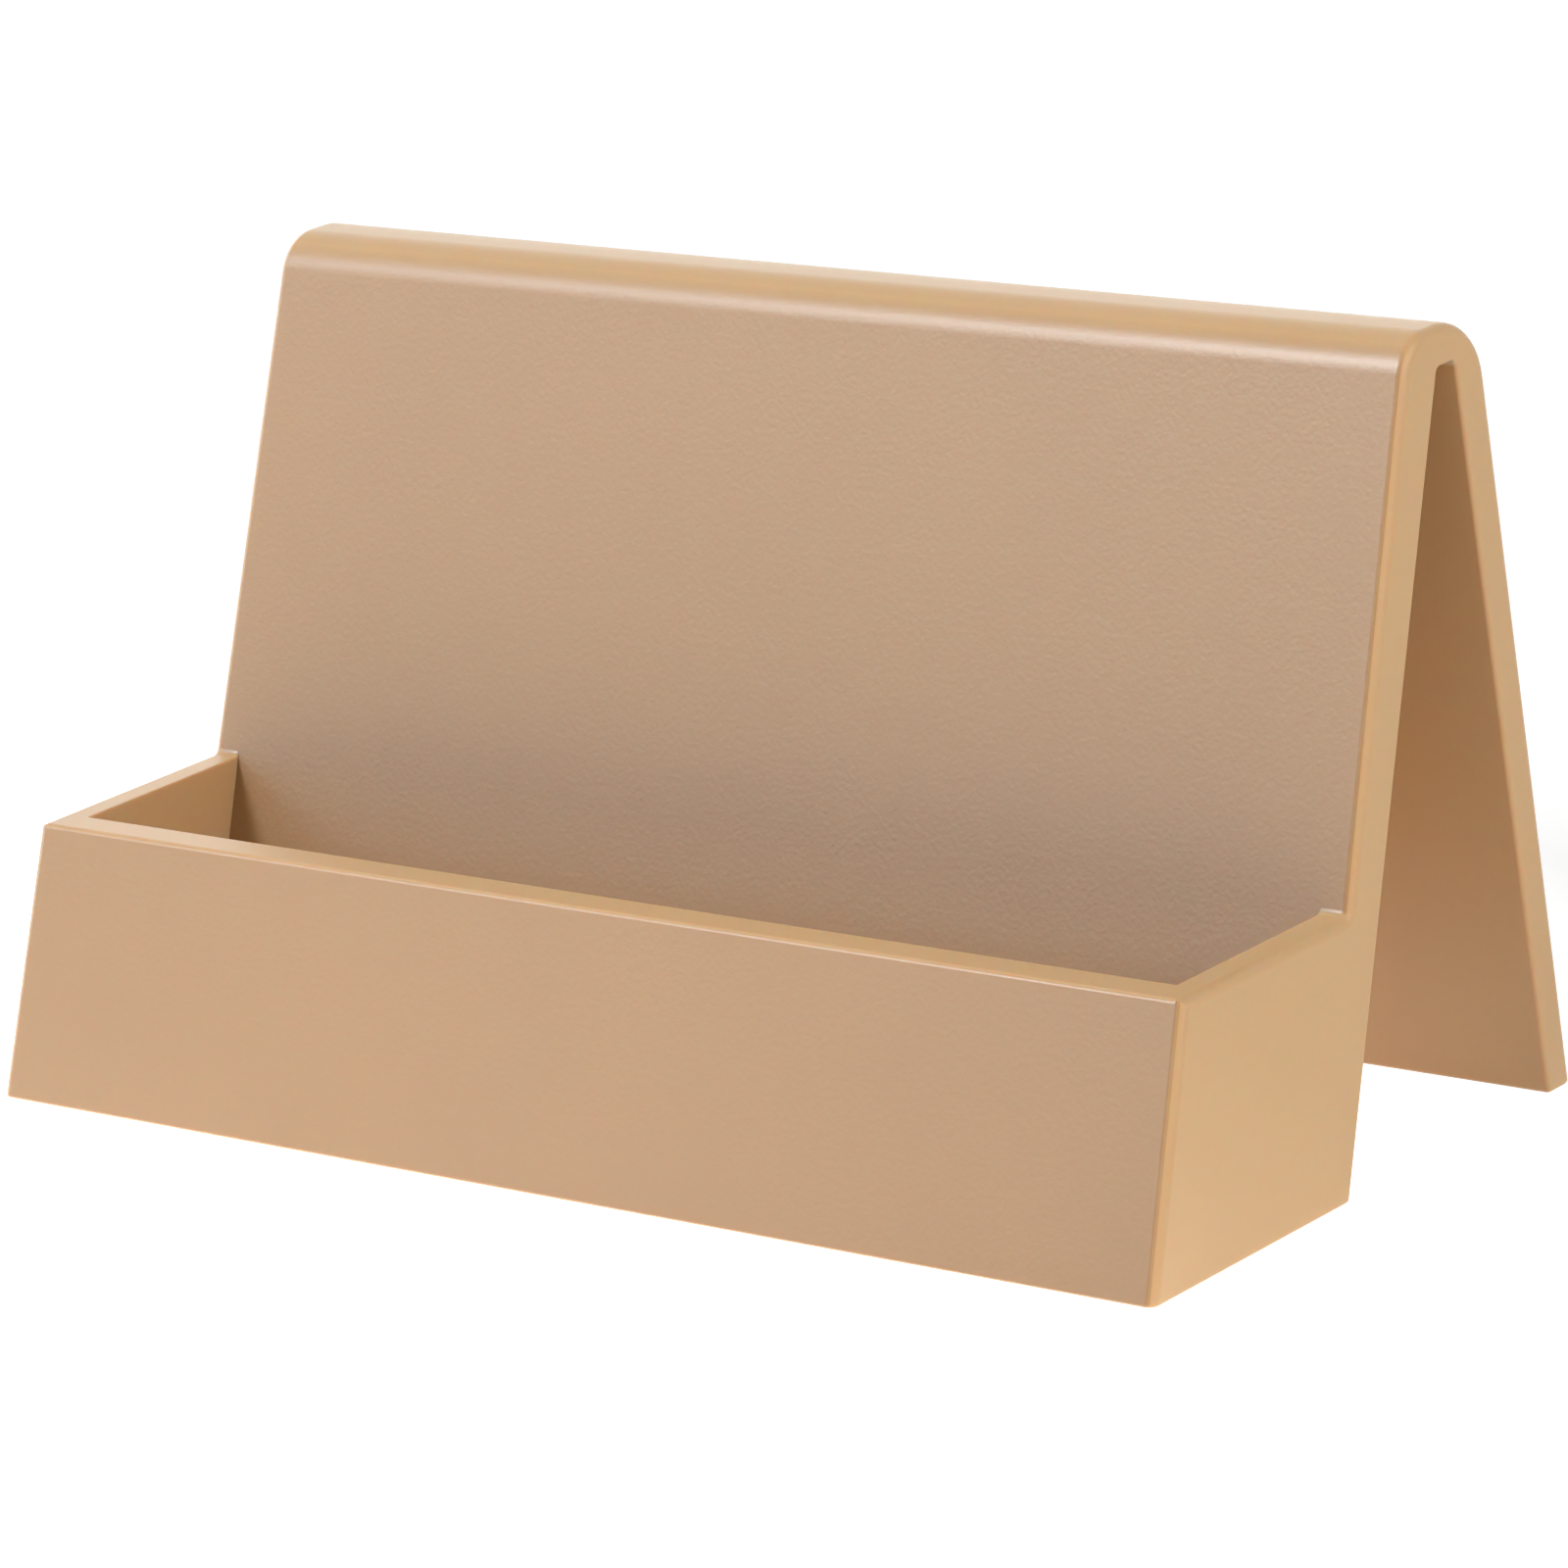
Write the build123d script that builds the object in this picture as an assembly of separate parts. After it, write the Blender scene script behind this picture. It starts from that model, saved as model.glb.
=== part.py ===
from build123d import *

import os
from math import cos, radians, sin, tan

# Business card stand: one moulding whose plate leans back, turns over at a rounded ridge and comes down
# as a leg, with a card tray along its front. Millimetres; +X is along the width, +Y to the back and +Z up.

# Overall sizes, and tilts in degrees from the vertical
WIDTH = 98.0  # end to end, across the foot
HEIGHT = 52.5  # foot to the crown of the ridge
LEAN = 19.0  # backrest and front wall, tilted back
LEG_LEAN = 3.0  # rear leg, tilted forward

# Card tray, with its walls measured at the rim
RIM_HEIGHT = 18.0
POCKET_DEPTH = 14.4  # clear depth for cards, square to the lean
FRONT_WALL = 2.4
END_WALL = 2.4
FLOOR_WALL = 2.4

# Plates and ridge, with the plates measured at the top of the space between them
BACKREST_WALL = 3.65
LEG_WALL = 3.15
RIDGE_WALL = 2.6
SPACE_WIDTH = 1.98  # between the plates, under the ridge
SPACE_RADIUS = 0.5  # corners of that space
FRONT_SHOULDER = 3.3  # round from the backrest to the crown
REAR_SHOULDER = 4.5  # round from the crown to the leg

# Mould draft, in degrees
END_DRAFT = 1.5  # the end faces lean in towards the ridge
CORE_DRAFT = 0.5  # the pocket widens upwards, and the space under the ridge widens downwards

# Rounded edges
OUTER_ROUND = 0.75  # round the end faces and along the front of the rim
INNER_ROUND = 0.3  # round the foot and the space under the ridge
RIM_CORNER = 0.6  # hollow corner where the end walls' rim meets the backrest

OVERRUN = 5.0  # how far the shapes that cut run past what they cut
SIDES = (-1, 1)  # left and right


def slope(tilt):
    return tan(radians(tilt))


def away(point, length, angle):
    """The point of the side profile a length away from another, at an angle above the +Y direction."""
    return (point[0] + length * cos(radians(angle)), point[1] + length * sin(radians(angle)))


def leaning_back(point, tilt):
    """A face through a point of the side profile, tilted back: its Y in terms of Z."""
    return lambda z: point[0] + (z - point[1]) * slope(tilt)


# Side profile, in points of (Y, Z) worked out from the middle of the ridge.
# A face that leans back looks to the front at 180 degrees less its tilt.
FRONTWARD = 180 - LEAN
SPACE_LEVEL = HEIGHT - RIDGE_WALL
SPACE_FRONT = (-SPACE_WIDTH / 2, SPACE_LEVEL)
SPACE_REAR = (SPACE_WIDTH / 2, SPACE_LEVEL)

backrest_rear = leaning_back(SPACE_FRONT, LEAN + CORE_DRAFT)
backrest_front = leaning_back(away(SPACE_FRONT, BACKREST_WALL, FRONTWARD), LEAN)
leg_inner = leaning_back(SPACE_REAR, -LEG_LEAN - CORE_DRAFT)
leg_outer = leaning_back(away(SPACE_REAR, LEG_WALL, LEG_LEAN), -LEG_LEAN)

RIM_BACK = (backrest_front(RIM_HEIGHT), RIM_HEIGHT)
RIM_INNER = (RIM_BACK[0] - POCKET_DEPTH / cos(radians(LEAN)), RIM_HEIGHT)
RIM_FRONT = (RIM_INNER[0] - FRONT_WALL / cos(radians(LEAN)), RIM_HEIGHT)
front_inner = leaning_back(RIM_INNER, LEAN - CORE_DRAFT)
front_outer = leaning_back(RIM_FRONT, LEAN)

# The flat crown meets the backrest's front and the leg's back in two corners, which the shoulders round.
CROWN_FRONT = (backrest_front(HEIGHT), HEIGHT)
CROWN_REAR = (leg_outer(HEIGHT), HEIGHT)
# The ridge ends about level with the deeper shoulder's centre, at planes that meet inside the space.
RIDGE_FOOT = (0, HEIGHT - max(FRONT_SHOULDER, REAR_SHOULDER))


def across(point, angle):
    """The plane across the width through a point of the side profile, which looks along an angle above +Y."""
    return Plane((0, *point), x_dir=(1, 0, 0), z_dir=(0, *away((0, 0), 1, angle)))


def end_plane(side, reach, level, draft):
    """The plane across one end, a reach from the middle at one level, which leans in upwards by its draft."""
    return Plane((side * reach, 0, level), z_dir=(side * cos(radians(draft)), 0, sin(radians(draft))))


POCKET_REACH = WIDTH / 2 - RIM_HEIGHT * slope(END_DRAFT) - END_WALL
OUTER_ENDS = [end_plane(side, WIDTH / 2, 0, END_DRAFT) for side in SIDES]
POCKET_ENDS = [end_plane(side, POCKET_REACH, RIM_HEIGHT, -CORE_DRAFT) for side in SIDES]


def rounded(profile, corner, radius):
    """A side profile with one of its corners rounded."""
    return fillet(profile.vertices().sort_by_distance((*corner, 0))[0], radius)


def prism(profile):
    """A side profile drawn out along the width, past both ends."""
    return extrude(Plane.YZ * profile, WIDTH, both=True)


def between(shape, ends):
    """What lies between two end planes."""
    for plane in ends:
        shape = split(shape, plane, Keep.BOTTOM)
    return shape


def parted(shape, plane):
    """What a plane looks towards, and what is behind it."""
    return split(shape, plane, Keep.TOP), split(shape, plane, Keep.BOTTOM)


def raised_end_edges(shape):
    """The edges of the flat faces at both ends, but for those on the foot."""
    flats = shape.faces().filter_by(GeomType.PLANE).sort_by(Axis.X)
    raised = [group for end in (flats[0], flats[-1]) for group in end.edges().group_by(Axis.Z)[1:]]
    return [edge for group in raised for edge in group]


def outer_body():
    """The stand with its tray filled and nothing cut away under its ridge, rounded along its outer edges."""
    feet = [(leg_outer(0), 0), (front_outer(0), 0)]
    profile = make_face(Polyline(*feet, RIM_FRONT, RIM_BACK, CROWN_FRONT, CROWN_REAR, close=True))
    profile = rounded(profile, RIM_BACK, RIM_CORNER)
    profile = rounded(profile, CROWN_FRONT, FRONT_SHOULDER)
    profile = rounded(profile, CROWN_REAR, REAR_SHOULDER)
    body = between(prism(profile), OUTER_ENDS)
    rim_edge = body.edges().sort_by_distance((0, *RIM_FRONT))[0]
    return fillet([rim_edge, *raised_end_edges(body)], OUTER_ROUND)


def pocket():
    """The space for the cards, open at the top."""
    top = RIM_HEIGHT + OVERRUN
    corners = [(face(z), z) for face in (front_inner, backrest_front) for z in (FLOOR_WALL, top)]
    floor_front, top_front, floor_back, top_back = corners
    outline = Polyline(floor_front, top_front, top_back, floor_back, close=True)
    return between(prism(make_face(outline)), POCKET_ENDS)


def under_ridge():
    """The space between the backrest and the leg, open at the foot and at both ends."""
    leg_foot = (leg_inner(-OVERRUN), -OVERRUN)
    backrest_foot = (backrest_rear(-OVERRUN), -OVERRUN)
    profile = make_face(Polyline(SPACE_REAR, leg_foot, backrest_foot, SPACE_FRONT, close=True))
    profile = rounded(profile, SPACE_FRONT, SPACE_RADIUS)
    return prism(rounded(profile, SPACE_REAR, SPACE_RADIUS))


def moulding():
    """The whole stand, before it is divided into its walls."""
    space = under_ridge()
    body = outer_body() - pocket() - space
    foot_edges = body.edges().group_by(Axis.Z)[0]
    space_edges = [edge for edge in raised_end_edges(body) if edge.distance_to(space) < INNER_ROUND]
    return fillet([*foot_edges, *space_edges], INNER_ROUND)


def walls(stand):
    """The stand divided where one wall meets the next, as solids by name."""
    front_wall, behind_front = parted(stand, across(RIM_INNER, FRONTWARD + CORE_DRAFT))
    tray, plates = parted(behind_front, across(RIM_BACK, FRONTWARD))
    left_end, right_end = POCKET_ENDS
    front_half, rear_half = parted(plates, across(RIDGE_FOOT, 180))
    ridge_front = across(RIDGE_FOOT, 90 - LEAN)
    ridge_rear = across(RIDGE_FOOT, 90 + LEG_LEAN)
    return {
        "front_wall": front_wall,
        "left_end_wall": split(tray, left_end, Keep.TOP),
        "right_end_wall": split(tray, right_end, Keep.TOP),
        "tray_floor": between(tray, POCKET_ENDS),
        "backrest": split(front_half, ridge_front, Keep.BOTTOM),
        "ridge_bend": split(split(plates, ridge_front, Keep.TOP), ridge_rear, Keep.TOP),
        "rear_leg": split(rear_half, ridge_rear, Keep.BOTTOM),
    }


def main():
    """Writes each wall, with the origin on the foot under the middle of the stand."""
    stand = moulding()
    to_origin = Pos(0, -stand.bounding_box().center().Y, 0)
    os.makedirs("parts", exist_ok=True)
    for name, wall in walls(stand).items():
        export_step(to_origin * wall.solid(), f"parts/{name}.step")


if __name__ == "__main__":
    main()
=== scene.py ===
from math import cos, pi, radians, sin, tan
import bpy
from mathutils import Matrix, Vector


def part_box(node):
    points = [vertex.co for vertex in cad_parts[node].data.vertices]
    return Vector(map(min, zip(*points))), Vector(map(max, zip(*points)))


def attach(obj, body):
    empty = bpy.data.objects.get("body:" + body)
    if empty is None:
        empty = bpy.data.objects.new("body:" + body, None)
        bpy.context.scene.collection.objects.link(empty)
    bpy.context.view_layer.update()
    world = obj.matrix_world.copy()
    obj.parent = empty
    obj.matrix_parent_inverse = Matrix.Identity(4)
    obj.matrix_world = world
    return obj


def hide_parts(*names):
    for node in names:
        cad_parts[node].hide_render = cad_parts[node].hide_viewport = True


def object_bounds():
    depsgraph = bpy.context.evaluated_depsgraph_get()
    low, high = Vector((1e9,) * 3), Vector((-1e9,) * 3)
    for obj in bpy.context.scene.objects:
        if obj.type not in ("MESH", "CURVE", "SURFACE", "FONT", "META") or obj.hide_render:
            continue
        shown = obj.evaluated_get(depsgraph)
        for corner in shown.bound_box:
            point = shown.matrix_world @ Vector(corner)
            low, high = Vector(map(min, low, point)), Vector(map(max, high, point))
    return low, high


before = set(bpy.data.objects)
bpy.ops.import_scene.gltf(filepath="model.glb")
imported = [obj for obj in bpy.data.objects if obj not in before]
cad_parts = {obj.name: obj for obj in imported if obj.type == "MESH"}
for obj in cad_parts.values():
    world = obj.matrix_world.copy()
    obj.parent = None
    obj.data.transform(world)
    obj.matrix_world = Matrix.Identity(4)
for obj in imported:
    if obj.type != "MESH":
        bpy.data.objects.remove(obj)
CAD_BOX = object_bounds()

from types import SimpleNamespace

import bmesh
import bpy
from bpy.props import FloatProperty, FloatVectorProperty, IntProperty, PointerProperty
from mathutils import Matrix, Quaternion, Vector

bl_info = {
    "name": "Business Card Stand",
    "version": (1, 0, 0),
    "blender": (4, 5, 0),
    "location": "View3D > Sidebar > Card Stand",
    "description": "Models a moulded business card stand on its packed frame, and its studio",
    "category": "Object",
}

MM = 0.001  # metres
WALLS = sorted(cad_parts)
IMAGE_SIDE = 1600  # pixels, of the square picture
SENSOR_WIDTH = 36  # millimetres
GRAIN_STEPS = 8  # steps from smooth to fully grained, by which the grain fades out round an edge

MERGE = 0.001 * MM  # points closer than this are one
FLAT = radians(0.2)  # faces that differ by less than this are one
CREASE = radians(35)  # an edge sharper than this shows as an edge
LARGE = 100 * MM * MM  # area of the smallest broad wall face
SQUARE_SHARE = 0.95  # how nearly a normal lies along an axis for its face to count as looking that way
STEEP_SHARE = 0.5  # a face whose normal rises less than this counts as a wall

SCATTER_SHARES = (1.0, 0.45, 0.2)  # how far red, green and blue light travel inside the plastic
FLOOR_HALF = 4.0  # metres, half the floor's side
FLOOR_PALE = 0.85  # share of the light that the floor gives back to the stand
FLOOR_SEEN = 0.4  # the same towards the camera, so that the shadow stays faint there
FLOOR_GLOW = 0.74  # what the camera sees on top of that, so that the lit floor is white
LAMP_AIM = Vector((0, 0, 25 * MM))  # the middle of the stand, which the lamps look at
LAMPS = {  # azimuth and elevation in degrees, then the distance and the two sides in metres
    "key": (-31, 40.6, 1.2, (0.26, 0.26)),
    "front_panel": (-45, 28, 1.0, (1.1, 0.55)),
    "left_panel": (-90, 16, 1.0, (0.8, 0.55)),
    "right_panel": (85, 30, 0.9, (0.8, 0.5)),
    "back_panel": (-138, 15, 1.0, (1.0, 0.5)),
}


def length(name, description, millimetres):
    return FloatProperty(name=name, description=description, default=millimetres * MM, unit="LENGTH")


def framed(name, description, metres):
    return FloatProperty(name=name, description=description, default=metres, unit="LENGTH")


def angle(name, description, degrees):
    return FloatProperty(name=name, description=description, default=radians(degrees), unit="ROTATION")


def number(name, description, value):
    return FloatProperty(name=name, description=description, default=value)


def count(name, description, value, least):
    return IntProperty(name=name, description=description, default=value, min=least)


def linear(srgb_hex):
    """The linear colour of an sRGB hex value."""
    shares = [int(srgb_hex[i : i + 2], 16) / 255 for i in (0, 2, 4)]
    return [s / 12.92 if s <= 0.04045 else ((s + 0.055) / 1.055) ** 2.4 for s in shares]


def colour(name, description, srgb_hex):
    value = linear(srgb_hex)
    return FloatVectorProperty(
        name=name, description=description, default=value, subtype="COLOR", min=0, max=1
    )


class StandSizes(bpy.types.PropertyGroup):
    """Sizes of the moulding."""

    width: length("Width", "End to end, across the foot", 98.0)
    height: framed("Height", "Foot to the crown of the ridge", CAD_BOX[1].z)
    lean: angle("Lean", "Tilt of the backrest and the front wall", 19.0)
    leg_lean: angle("Leg Lean", "Forward tilt of the rear leg", 3.0)
    rim_height: framed("Rim Height", "Foot to the rim of the card tray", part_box("front_wall")[1].z)
    pocket_depth: length("Pocket Depth", "Clear depth for cards, square to the lean", 14.4)
    front_wall: length("Front Wall", "Thickness of the tray's front at the rim", 2.4)
    end_wall: length("End Wall", "Thickness of the tray's ends at the rim", 2.4)
    floor_wall: framed("Floor", "Thickness of the tray's floor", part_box("tray_floor")[1].z)
    backrest_wall: length("Backrest", "Thickness of the backrest at the top of the space behind it", 3.65)
    leg_wall: length("Leg", "Thickness of the leg at the top of the space before it", 3.15)
    ridge_wall: length("Ridge", "Thickness at the crown of the ridge", 2.6)
    space_width: length("Space Width", "Between the plates, under the ridge", 1.98)
    space_radius: length("Space Radius", "Corners of the space under the ridge", 0.5)
    front_shoulder: length("Front Shoulder", "Round from the backrest to the crown", 3.3)
    rear_shoulder: length("Rear Shoulder", "Round from the crown to the leg", 4.5)
    end_draft: angle("End Draft", "How far the end faces lean in", 1.5)
    core_draft: angle("Core Draft", "How far the pocket and the space under the ridge open out", 0.5)
    outer_round: length("Outer Round", "Round the end faces", 0.75)
    rim_front_round: length("Rim Front Round", "Along the front edge of the rim", 0.3)
    inner_round: length("Inner Round", "Round the foot and the space under the ridge", 0.3)
    rim_round: length("Rim Round", "Along the inner edges of the rim", 0.15)
    rim_corner: length("Rim Corner", "Hollow corner where the end walls' rim meets the backrest", 0.6)
    grain_turn: angle("Grain Turn", "How far round an edge the grain is whole", 14.0)
    grain_end: angle("Grain End", "How far round an edge the grain has faded out", 38.0)
    shoulder_steps: count("Shoulder Steps", "Flats round a shoulder", 24, 4)
    round_steps: count("Round Steps", "Flats across a rounded edge", 6, 2)


class StandFinish(bpy.types.PropertyGroup):
    """Colours and surface of the moulded plastic."""

    # The two tans are one plastic: their gap is partly the finish and partly painted light and shade, the
    # satin ends, tops and insides painted lighter and the grained front and back darker
    grained: colour("Grained Tan", "Colour of the spark-grained faces", "A9804E")
    satin: colour("Satin Tan", "Colour of the smooth faces", "D4AE7E")
    drift: number("Drift", "How far the tan drifts over the part", 0.04)
    drift_size: length("Drift Size", "Size of the patches that the tan drifts in", 14.0)
    scatter: length("Scatter", "How far red light travels inside the plastic", 0.6)
    # real spark grain is finer than a pixel of the picture, so it is drawn coarser here
    grain_size: length("Grain Size", "Size of the pits of the spark grain", 0.4)
    grain_depth: length("Grain Depth", "Depth of the pits of the spark grain", 0.014)
    satin_depth: length("Satin Depth", "Depth of the faint ripple of the smooth faces", 0.0015)
    roughness: number("Roughness", "Roughness of the plastic, apart from its pits", 0.42)
    # ABS has an index of about 1.53, and the grained faces are raised from it to match their pale sheen
    grained_index: number("Grained Index", "Index of refraction of the spark-grained faces", 1.64)
    satin_index: number("Satin Index", "Index of refraction of the smooth faces", 1.53)
    grained_gloss: number("Grained Gloss", "Level of the reflections of the spark-grained faces", 1.0)
    satin_gloss: number("Satin Gloss", "Level of the reflections of the smooth faces", 0.5)


class StudioSettings(bpy.types.PropertyGroup):
    """Camera and light."""

    azimuth: angle("Azimuth", "Camera to the right of straight ahead", 40.132)
    elevation: angle("Elevation", "Camera above the horizon", 16.343)
    roll: angle("Roll", "Camera turned about its own line of sight", -5.35)
    distance: length("Distance", "Camera to its target", 542.841)
    target: FloatVectorProperty(
        name="Target",
        description="What the middle of the picture looks at",
        default=[-0.061 * MM, 4.661 * MM, 20.088 * MM],
        subtype="XYZ_LENGTH",
    )
    focal_pixels: number("Focal Length", "Focal length in pixels of the square picture", 8303.1)
    room: number("Room", "Brightness of the room round the stage", 0.07)
    backdrop_edge: number("Backdrop Edge", "How softly the white backdrop gives way to the room", 0.2)
    bounce: number("Bounce", "Brightness of a pool of light on the floor in front", 1.45)
    pool: FloatVectorProperty(
        name="Pool",
        description="Middle of the bright pool on the floor",
        default=[-60 * MM, -80 * MM, 0],
        subtype="XYZ_LENGTH",
    )
    pool_core: length("Pool Core", "Radius within which the pool is even", 60.0)
    pool_reach: length("Pool Reach", "Radius at which the pool has faded out", 165.0)
    key: number("Key Lamp", "Brightness of the lamp high at the left of the front", 34.0)
    front_panel: number("Front Panel", "Brightness of the soft panel at the left of the front", 1.05)
    left_panel: number("Left Panel", "Brightness of the soft panel at the left", 1.4)
    right_panel: number("Right Panel", "Brightness of the soft panel high at the right", 4.1)
    back_panel: number("Back Panel", "Brightness of the soft panel behind, at the left", 1.35)


def away(point, distance, direction):
    """The point of the side profile a distance from another, at an angle above +Y."""
    return (point[0] + distance * cos(direction), point[1] + distance * sin(direction))


def leaning_back(point, tilt):
    """A face through a point of the side profile, tilted back: its Y in terms of Z."""
    return lambda z: point[0] + (z - point[1]) * tan(tilt)


def round_against(face, tilt, radius, level):
    """The centre, at one level, of a round behind a face, or before it if the radius is negative."""
    return (face(level) + radius / cos(tilt), level)


def side_profile(sizes):
    """The side profile's points as (Y, Z), and its arcs as centre, radius, first angle and turn."""
    lean, leg_lean, draft = sizes.lean, sizes.leg_lean, sizes.core_draft
    height, rim, square = sizes.height, sizes.rim_height, pi / 2
    space = height - sizes.ridge_wall
    space_front = (-sizes.space_width / 2, space)
    space_rear = (sizes.space_width / 2, space)
    backrest_rear = leaning_back(space_front, lean + draft)
    backrest_front = leaning_back(away(space_front, sizes.backrest_wall, pi - lean), lean)
    leg_inner = leaning_back(space_rear, -leg_lean - draft)
    leg_outer = leaning_back(away(space_rear, sizes.leg_wall, leg_lean), -leg_lean)

    p = SimpleNamespace()
    radius = sizes.front_shoulder
    centre = round_against(backrest_front, lean, radius, height - radius)
    p.front_shoulder = (centre, radius, square, square - lean)
    radius = sizes.rear_shoulder
    centre = round_against(leg_outer, leg_lean, -radius, height - radius)
    p.rear_shoulder = (centre, radius, leg_lean, square - leg_lean)
    radius = sizes.space_radius
    centre = round_against(backrest_rear, lean + draft, radius, space - radius)
    p.space_front = (centre, radius, square, square - lean - draft)
    centre = round_against(leg_inner, leg_lean + draft, -radius, space - radius)
    p.space_rear = (centre, radius, leg_lean + draft, square - leg_lean - draft)
    radius = sizes.rim_corner
    centre = round_against(backrest_front, lean, -radius, rim + radius)
    p.hollow = (centre, radius, -lean, lean - square)

    p.rim_inner = (backrest_front(rim) - sizes.pocket_depth / cos(lean), rim)
    p.rim_front = (p.rim_inner[0] - sizes.front_wall / cos(lean), rim)
    front_outer = leaning_back(p.rim_front, lean)
    front_inner = leaning_back(p.rim_inner, lean - draft)
    p.floor_front = (front_inner(sizes.floor_wall), sizes.floor_wall)
    p.floor_back = (backrest_front(sizes.floor_wall), sizes.floor_wall)
    p.front_foot = (front_outer(0), 0)
    p.backrest_foot = (backrest_rear(0), 0)
    p.leg_inner_foot = (leg_inner(0), 0)
    p.leg_outer_foot = (leg_outer(0), 0)
    return p


def arc(bm, centre, radius, first, turn, steps):
    """The vertices of an arc of the side profile."""
    start = bm.verts.new((0, *away(centre, radius, first)))
    made = len(bm.verts)
    bmesh.ops.spin(bm, geom=[start], cent=(0, *centre), axis=(1, 0, 0), angle=turn, steps=steps)
    return [start, *list(bm.verts)[made:]]


def end_sections(bm, sizes):
    """The right end as two faces: the section of the stand, and the tray's space that the end wall fills."""
    p = side_profile(sizes)
    ridge = arc(bm, *p.rear_shoulder, sizes.shoulder_steps)
    ridge += arc(bm, *p.front_shoulder, sizes.shoulder_steps)
    space = arc(bm, *p.space_rear, sizes.round_steps) + arc(bm, *p.space_front, sizes.round_steps)
    hollow = arc(bm, *p.hollow, sizes.round_steps)
    foot = (p.front_foot, p.backrest_foot, p.leg_inner_foot, p.leg_outer_foot)
    front_foot, backrest_foot, leg_inner_foot, leg_outer_foot = (bm.verts.new((0, *point)) for point in foot)
    tray = (p.floor_back, p.floor_front, p.rim_inner, p.rim_front)
    floor_back, floor_front, rim_inner, rim_front = (bm.verts.new((0, *point)) for point in tray)
    under = [front_foot, backrest_foot, *reversed(space), leg_inner_foot, leg_outer_foot]
    section = bm.faces.new([*under, *ridge, hollow[0], floor_back, floor_front, rim_inner, rim_front])
    filling = bm.faces.new([rim_inner, floor_front, floor_back, *hollow])
    return section, filling


def drawn_out(bm, faces, x):
    """The faces carried along the width to x, with walls behind them, the one with fewer corners first."""
    made = bmesh.ops.extrude_face_region(bm, geom=faces)["geom"]
    for vert in (v for v in made if isinstance(v, bmesh.types.BMVert)):
        vert.co.x = x
    return sorted((f for f in made if isinstance(f, bmesh.types.BMFace)), key=lambda f: len(f.verts))


def lean_in(verts, level, draft):
    """Moves one end's vertices so that the end leans in upwards from a level."""
    for vert in verts:
        vert.co.x -= (vert.co.z - level) * tan(draft)


def sharp_moulding(sizes):
    """The whole stand with sharp edges."""
    bm = bmesh.new()
    section, filling = end_sections(bm, sizes)
    half = sizes.width / 2
    reach = half - sizes.rim_height * tan(sizes.end_draft) - sizes.end_wall
    outer_verts = list(bm.verts)
    for vert in outer_verts:
        vert.co.x = half
    inner_filling, inner_section = drawn_out(bm, [section, filling], reach)
    inner_verts = {*inner_filling.verts, *inner_section.verts}
    middle = drawn_out(bm, [inner_section], 0)
    lean_in(outer_verts, 0, sizes.end_draft)
    lean_in(inner_verts, sizes.rim_height, -sizes.core_draft)
    bmesh.ops.delete(bm, geom=[inner_section, *middle], context="FACES_ONLY")
    geom = [*bm.verts, *bm.edges, *bm.faces]
    bmesh.ops.mirror(bm, geom=geom, matrix=Matrix(), merge_dist=MERGE, axis="X")
    bmesh.ops.remove_doubles(bm, verts=bm.verts, dist=MERGE)
    bmesh.ops.recalc_face_normals(bm, faces=bm.faces)
    bmesh.ops.dissolve_limit(bm, angle_limit=FLAT, verts=bm.verts, edges=bm.edges)
    return bm


def at_end(face):
    """True for the flat outer face at either end."""
    return face.normal.x * face.calc_center_median().x > 0 and abs(face.normal.x) > SQUARE_SHARE


def looks_up(face):
    return face.normal.z > 0 and not at_end(face)


def looks_down(face):
    return face.normal.z < 0 and not at_end(face)


def level(face):
    return face.normal.z > SQUARE_SHARE


def on_foot(face):
    return face.normal.z < -SQUARE_SHARE


def broad_front(face):
    """True for the front wall and the backrest as the front shows them."""
    return face.calc_area() > LARGE and face.normal.y < -STEEP_SHARE and face.normal.z > 0


def pocket_wall(face):
    """True for the steep faces of the card pocket, but for the backrest."""
    steep = abs(face.normal.z) < STEEP_SHARE and face.calc_area() > LARGE
    return steep and not at_end(face) and not broad_front(face)


def rim_top(face):
    """True for the flat rim and the hollow corners that lead from it to the backrest."""
    return looks_up(face) and not broad_front(face) and not pocket_wall(face)


def edges_between(bm, one, other):
    """The edges with one kind of face on one side and another kind on the other."""
    found = []
    for edge in bm.edges:
        a, b = edge.link_faces
        if (one(a) and other(b)) or (one(b) and other(a)):
            found.append(edge)
    return found


def along_rim(edges, sizes):
    """Those of the edges that lie along the rim or its hollow corners."""
    low, high = sizes.rim_height - MERGE, sizes.rim_height + sizes.rim_corner
    return [edge for edge in edges if all(low < vert.co.z < high for vert in edge.verts)]


def round_off(bm, edges, offset, steps):
    bmesh.ops.bevel(
        bm, geom=edges, offset=offset, offset_type="OFFSET", affect="EDGES",
        segments=steps, profile=0.5, material=-1, clamp_overlap=False, loop_slide=True,
    )
    bm.normal_update()


def round_edges(bm, sizes):
    """Rounds the ends, the rim's front, the foot, the space under the ridge and the rim's inner edges."""
    bm.normal_update()
    round_off(bm, edges_between(bm, at_end, looks_up), sizes.outer_round, sizes.round_steps)
    rim_front = along_rim(edges_between(bm, level, broad_front), sizes)
    round_off(bm, rim_front, sizes.rim_front_round, sizes.round_steps)
    foot = edges_between(bm, on_foot, lambda face: not on_foot(face))
    space = [edge for edge in edges_between(bm, at_end, looks_down) if edge not in foot]
    round_off(bm, [*foot, *space], sizes.inner_round, sizes.round_steps // 2)
    rim_inner = along_rim(edges_between(bm, rim_top, pocket_wall), sizes)
    round_off(bm, rim_inner, sizes.rim_round, sizes.round_steps // 2)
    bmesh.ops.remove_doubles(bm, verts=bm.verts, dist=MERGE)
    bm.normal_update()


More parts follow.
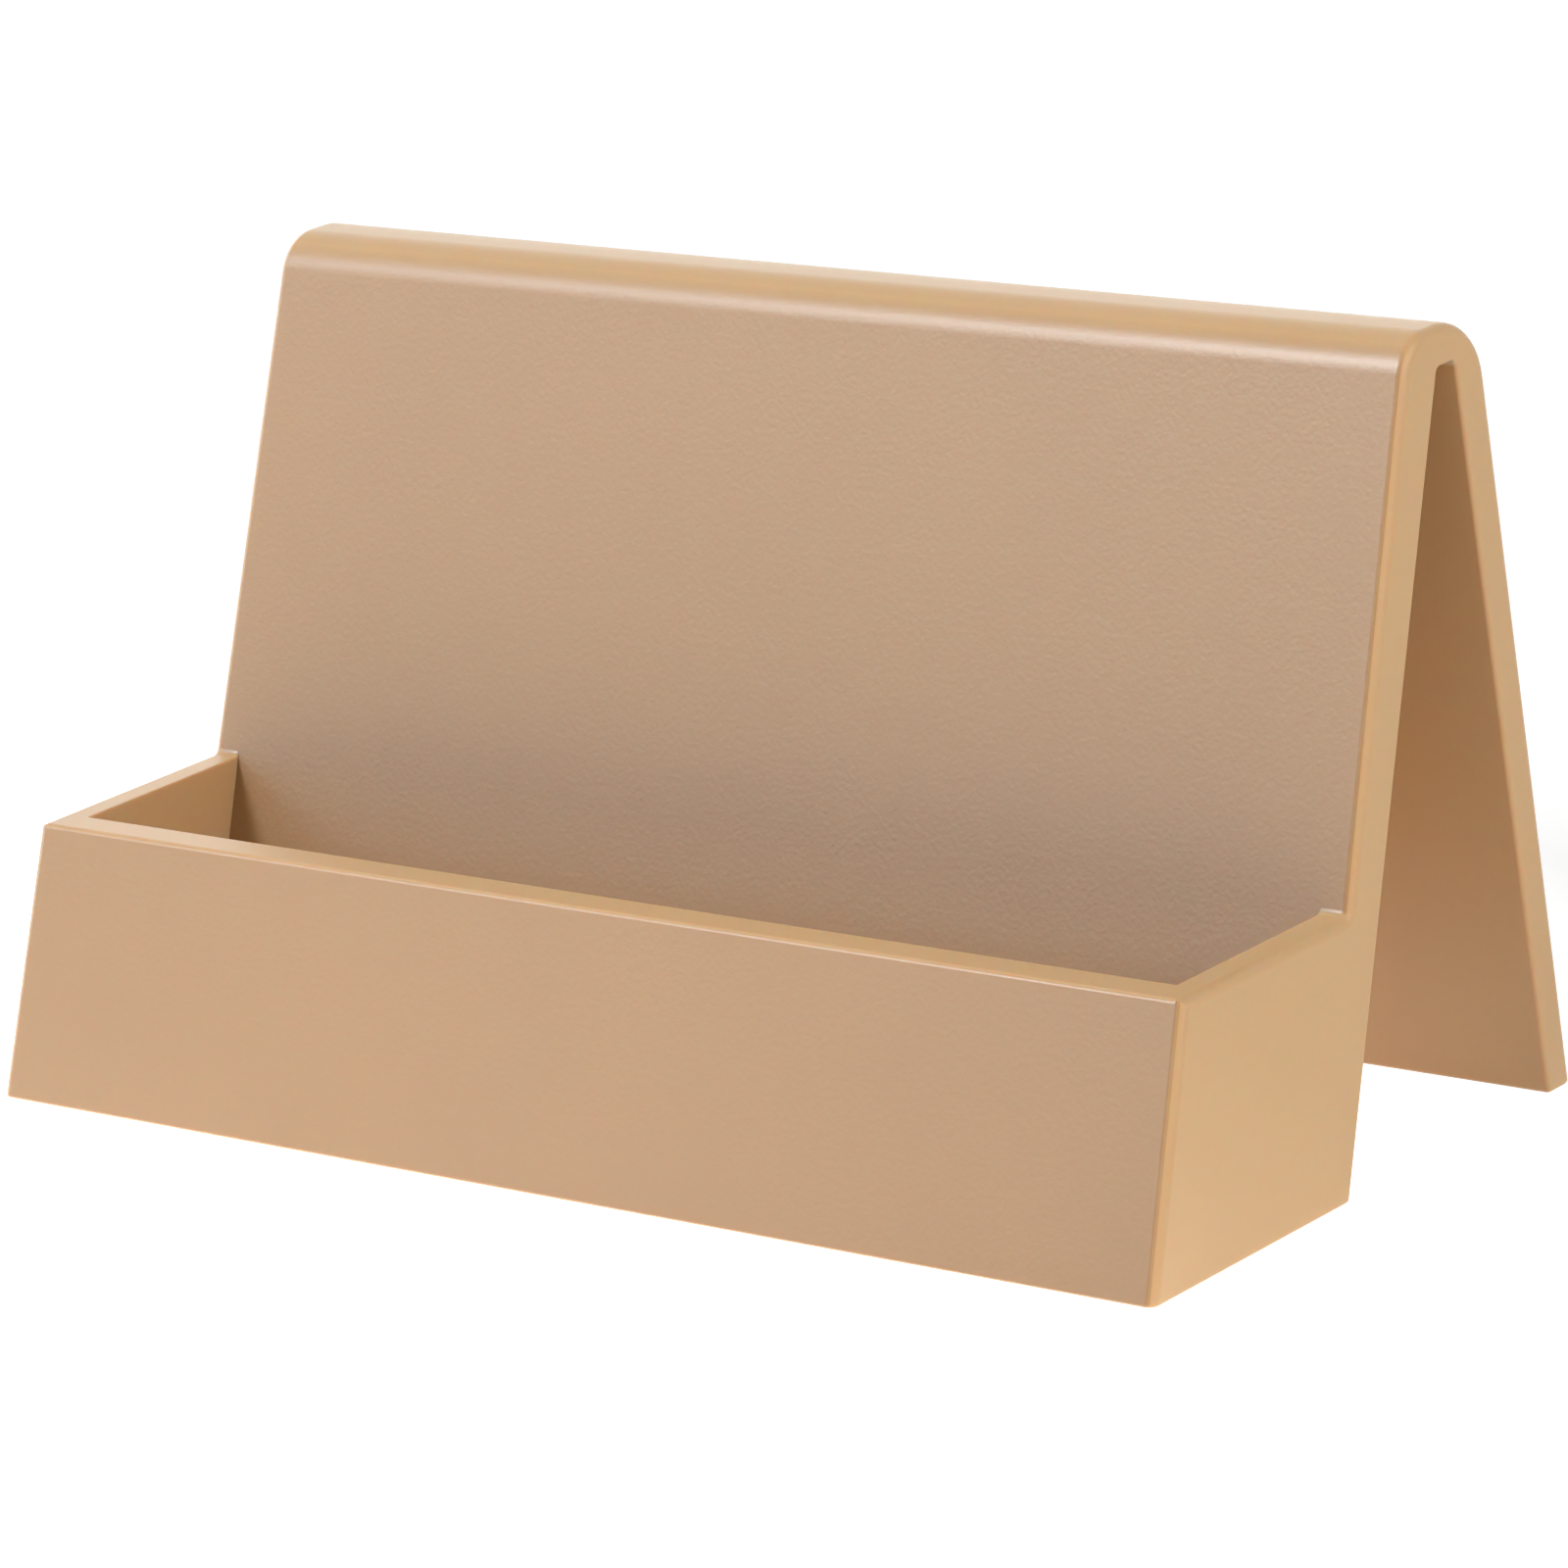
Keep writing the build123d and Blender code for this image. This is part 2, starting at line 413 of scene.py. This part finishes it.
def grain_share(face, sizes):
    """How much of the spark grain a face has: all on the broad outer faces, and less round their edges."""
    # the share also sets how far the face takes the darker grained tan, which is partly painted shade
    front = Vector((0, -cos(sizes.lean), sin(sizes.lean)))
    back = Vector((0, cos(sizes.leg_lean), sin(sizes.leg_lean)))
    turn = face.normal.angle(back if face.calc_center_median().y > 0 else front)
    share = (sizes.grain_end - turn) / (sizes.grain_end - sizes.grain_turn)
    return min(max(share, 0), 1) if face.normal.z > 0 else 0


def linked(obj):
    bpy.context.scene.collection.objects.link(obj)
    return obj


def add(tree, kind, inputs=None, **settings):
    """Adds a node with its settings, and gives its inputs values or links."""
    node = tree.nodes.new(kind)
    for key, value in settings.items():
        setattr(node, key, value)
    for socket, value in (inputs or {}).items():
        if isinstance(value, bpy.types.NodeSocket):
            tree.links.new(value, node.inputs[socket])
        else:
            node.inputs[socket].default_value = value
    return node


def between(satin, grained, share):
    return satin + (grained - satin) * share


def moulded_abs(name, finish, share):
    """ABS with a share of the grain: light scatters in it, its tan drifts, and its grain is even pits."""
    material = bpy.data.materials.new(name)
    material.use_nodes = True
    tree = material.node_tree
    shader = tree.nodes["Principled BSDF"]
    place = add(tree, "ShaderNodeTexCoord").outputs["Object"]
    drift = {"Vector": place, "Scale": 1 / finish.drift_size, "Detail": 2.0}
    patches = add(tree, "ShaderNodeTexNoise", drift)
    limits = {"Value": patches.outputs["Fac"], "To Min": 1 - finish.drift, "To Max": 1 + finish.drift}
    shade = add(tree, "ShaderNodeMapRange", limits).outputs["Result"]
    # between the satin and the grained tan, whose gap is partly painted light and shade
    tan_and_painted_light = between(Vector(finish.satin), Vector(finish.grained), share)
    tone = add(tree, "ShaderNodeVectorMath", {0: tan_and_painted_light, "Scale": shade}, operation="SCALE")
    tree.links.new(tone.outputs["Vector"], shader.inputs["Base Color"])
    pits = {"Vector": place, "Scale": 1 / finish.grain_size, "Detail": 1.0}
    pits = add(tree, "ShaderNodeTexNoise", pits).outputs["Fac"]
    depth = between(finish.satin_depth, finish.grain_depth, share)
    bump = add(tree, "ShaderNodeBump", {"Height": pits, "Distance": depth, "Strength": 1.0})
    tree.links.new(bump.outputs["Normal"], shader.inputs["Normal"])
    shader.inputs["Roughness"].default_value = finish.roughness
    shader.inputs["IOR"].default_value = between(finish.satin_index, finish.grained_index, share)
    gloss = between(finish.satin_gloss, finish.grained_gloss, share)
    shader.inputs["Specular IOR Level"].default_value = gloss
    shader.inputs["Subsurface Weight"].default_value = 1.0
    shader.inputs["Subsurface Radius"].default_value = SCATTER_SHARES
    shader.inputs["Subsurface Scale"].default_value = finish.scatter
    return material


def seen_as_background(tree, in_gloss=1.0):
    """One where a thing is seen, a share of that in gloss, and none where it only gives light."""
    path = add(tree, "ShaderNodeLightPath").outputs
    gloss = {0: path["Is Glossy Ray"], 1: in_gloss}
    gloss = add(tree, "ShaderNodeMath", gloss, operation="MULTIPLY").outputs[0]
    clear = {0: path["Is Camera Ray"], 1: path["Is Transmission Ray"]}
    clear = add(tree, "ShaderNodeMath", clear, operation="MAXIMUM").outputs[0]
    return add(tree, "ShaderNodeMath", {0: clear, 1: gloss}, operation="MAXIMUM").outputs[0]


def white_floor(studio):
    """Plain pale floor, white where the camera sees it lit, with a pool of light in front of the stand."""
    material = bpy.data.materials.new("pale_floor")
    material.use_nodes = True
    tree = material.node_tree
    tree.nodes.remove(tree.nodes["Principled BSDF"])
    seen = seen_as_background(tree)
    pale = add(tree, "ShaderNodeBsdfDiffuse", {"Color": (FLOOR_PALE, FLOOR_PALE, FLOOR_PALE, 1)})
    dull = add(tree, "ShaderNodeBsdfDiffuse", {"Color": (FLOOR_SEEN, FLOOR_SEEN, FLOOR_SEEN, 1)})
    glow = add(tree, "ShaderNodeEmission", {"Strength": FLOOR_GLOW})
    white = add(tree, "ShaderNodeAddShader", {0: dull.outputs[0], 1: glow.outputs[0]})
    both = add(tree, "ShaderNodeMixShader", {0: seen, 1: pale.outputs[0], 2: white.outputs[0]})
    place = add(tree, "ShaderNodeTexCoord").outputs["Object"]
    off = {0: place, 1: studio.pool}
    off = add(tree, "ShaderNodeVectorMath", off, operation="DISTANCE").outputs["Value"]
    fade = {"Value": off, "From Min": studio.pool_core, "From Max": studio.pool_reach}
    fade = add(tree, "ShaderNodeMapRange", {**fade, "To Min": studio.bounce, "To Max": 0.0})
    pool = add(tree, "ShaderNodeEmission", {"Strength": fade.outputs["Result"]})
    lit = add(tree, "ShaderNodeAddShader", {0: both.outputs[0], 1: pool.outputs[0]})
    tree.links.new(lit.outputs[0], tree.nodes["Material Output"].inputs["Surface"])
    return material


class CARDSTAND_OT_moulding(bpy.types.Operator):
    """Model the stand as one seamless moulding"""

    bl_idname = "card_stand.moulding"
    bl_label = "Moulding"

    def execute(self, context):
        sizes = context.scene.card_stand_sizes
        finish = context.scene.card_stand_finish
        bm = sharp_moulding(sizes)
        round_edges(bm, sizes)
        if any(len(edge.link_faces) != 2 for edge in bm.edges):
            raise RuntimeError("The moulding isn't closed, so its rounds are too large for its walls")
        for face in bm.faces:
            face.smooth = True
            face.material_index = round(grain_share(face, sizes) * GRAIN_STEPS)
        ys = [vert.co.y for vert in bm.verts]
        bmesh.ops.translate(bm, verts=bm.verts, vec=(0, -(min(ys) + max(ys)) / 2, 0))
        for edge in bm.edges:
            edge.smooth = edge.calc_face_angle(0) < CREASE
        mesh = bpy.data.meshes.new("stand_moulding")
        bm.to_mesh(mesh)
        bm.free()
        # ABS from a mould with spark-eroded and stoned faces: the first leave a matt, faintly pebbled skin
        # with a pale sheen, and the second a smooth satin one, whose tan shows warmer. The gap between the
        # tans is partly that finish and partly painted light and shade: the satin ends, tops and insides are
        # painted lighter, and the grained front and back darker
        for step in range(GRAIN_STEPS + 1):
            name = f"abs_satin_with_{step}_of_{GRAIN_STEPS}_spark_grain"
            mesh.materials.append(moulded_abs(name, finish, step / GRAIN_STEPS))
        piece = linked(bpy.data.objects.new("stand_moulding", mesh))
        piece.modifiers.new("face_normals", "WEIGHTED_NORMAL").keep_sharp = True
        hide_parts(*WALLS)
        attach(piece, "root")
        return {"FINISHED"}


def towards(azimuth, elevation):
    """The direction to the right of straight ahead, and above the horizon, by two angles."""
    return Vector((sin(azimuth) * cos(elevation), -cos(azimuth) * cos(elevation), sin(elevation)))


def lamp(name, azimuth, elevation, distance, sides, brightness):
    """A flat lamp, placed by two angles in degrees: at 1 it is as bright as a white wall."""
    data = bpy.data.lights.new(name, "AREA")
    data.shape = "RECTANGLE"
    data.size, data.size_y = sides
    data.energy = brightness * pi * sides[0] * sides[1]
    made = linked(bpy.data.objects.new(name, data))
    away_from_stand = towards(radians(azimuth), radians(elevation))
    made.location = away_from_stand * distance + LAMP_AIM
    made.rotation_mode = "QUATERNION"
    made.rotation_quaternion = away_from_stand.to_track_quat("Z", "Y")
    return made


class CARDSTAND_OT_stage(bpy.types.Operator):
    """Set the floor, the light and the camera"""

    bl_idname = "card_stand.stage"
    bl_label = "Stage"

    def execute(self, context):
        scene = context.scene
        studio = scene.card_stand_studio
        camera = linked(bpy.data.objects.new("camera", bpy.data.cameras.new("camera")))
        camera.data.sensor_width = SENSOR_WIDTH
        camera.data.lens = studio.focal_pixels / IMAGE_SIDE * SENSOR_WIDTH
        back = towards(studio.azimuth, studio.elevation)
        camera.location = Vector(studio.target) + back * studio.distance
        if camera.location.z <= 0:
            raise RuntimeError("The camera is under the floor, so it can't see the stand")
        camera.rotation_mode = "QUATERNION"
        camera.rotation_quaternion = (-back).to_track_quat("-Z", "Y") @ Quaternion((0, 0, 1), studio.roll)
        scene.camera = camera
        scene.view_settings.view_transform = "Standard"

        bm = bmesh.new()
        bmesh.ops.create_grid(bm, x_segments=1, y_segments=1, size=FLOOR_HALF)
        mesh = bpy.data.meshes.new("floor")
        bm.to_mesh(mesh)
        bm.free()
        mesh.materials.append(white_floor(studio))
        linked(bpy.data.objects.new("floor", mesh))

        scene.world = bpy.data.worlds.new("studio")
        scene.world.use_nodes = True
        tree = scene.world.node_tree
        # gloss shows the white backdrop behind the stand, and the dim room on the camera's side
        direction = add(tree, "ShaderNodeTexCoord").outputs["Object"]
        behind = {0: direction, 1: -towards(studio.azimuth, 0)}
        behind = add(tree, "ShaderNodeVectorMath", behind, operation="DOT_PRODUCT").outputs["Value"]
        backdrop = {"Value": behind, "From Min": -studio.backdrop_edge, "From Max": studio.backdrop_edge}
        backdrop = add(tree, "ShaderNodeMapRange", backdrop).outputs["Result"]
        seen = seen_as_background(tree, backdrop)
        strength = add(tree, "ShaderNodeMix", {0: seen, 2: studio.room, 3: 1.0})
        background = tree.nodes["Background"]
        background.inputs["Color"].default_value = (1, 1, 1, 1)
        tree.links.new(strength.outputs[0], background.inputs["Strength"])

        for name, place in LAMPS.items():
            lamp(name, *place, getattr(studio, name))
        return {"FINISHED"}


class CARDSTAND_PT_panel(bpy.types.Panel):
    """Sizes, finish and light of the stand"""

    bl_idname = "CARDSTAND_PT_panel"
    bl_label = "Business Card Stand"
    bl_space_type = "VIEW_3D"
    bl_region_type = "UI"
    bl_category = "Card Stand"

    def draw(self, context):
        layout = self.layout
        for title, name in GROUPS:
            box = layout.box()
            box.label(text=title)
            group = getattr(context.scene, name)
            for key in group.bl_rna.properties.keys():
                if key not in {"rna_type", "name"}:
                    box.prop(group, key)
        layout.operator(CARDSTAND_OT_moulding.bl_idname)
        layout.operator(CARDSTAND_OT_stage.bl_idname)


GROUPS = (("Sizes", "card_stand_sizes"), ("Finish", "card_stand_finish"), ("Studio", "card_stand_studio"))
CLASSES = (
    StandSizes, StandFinish, StudioSettings, CARDSTAND_OT_moulding, CARDSTAND_OT_stage, CARDSTAND_PT_panel
)


def register():
    for cls in CLASSES:
        bpy.utils.register_class(cls)
    bpy.types.Scene.card_stand_sizes = PointerProperty(type=StandSizes)
    bpy.types.Scene.card_stand_finish = PointerProperty(type=StandFinish)
    bpy.types.Scene.card_stand_studio = PointerProperty(type=StudioSettings)


def unregister():
    for _, name in GROUPS:
        delattr(bpy.types.Scene, name)
    for cls in reversed(CLASSES):
        bpy.utils.unregister_class(cls)


def main():
    register()
    bpy.ops.card_stand.moulding()
    bpy.ops.card_stand.stage()


if __name__ == "__main__":
    main()
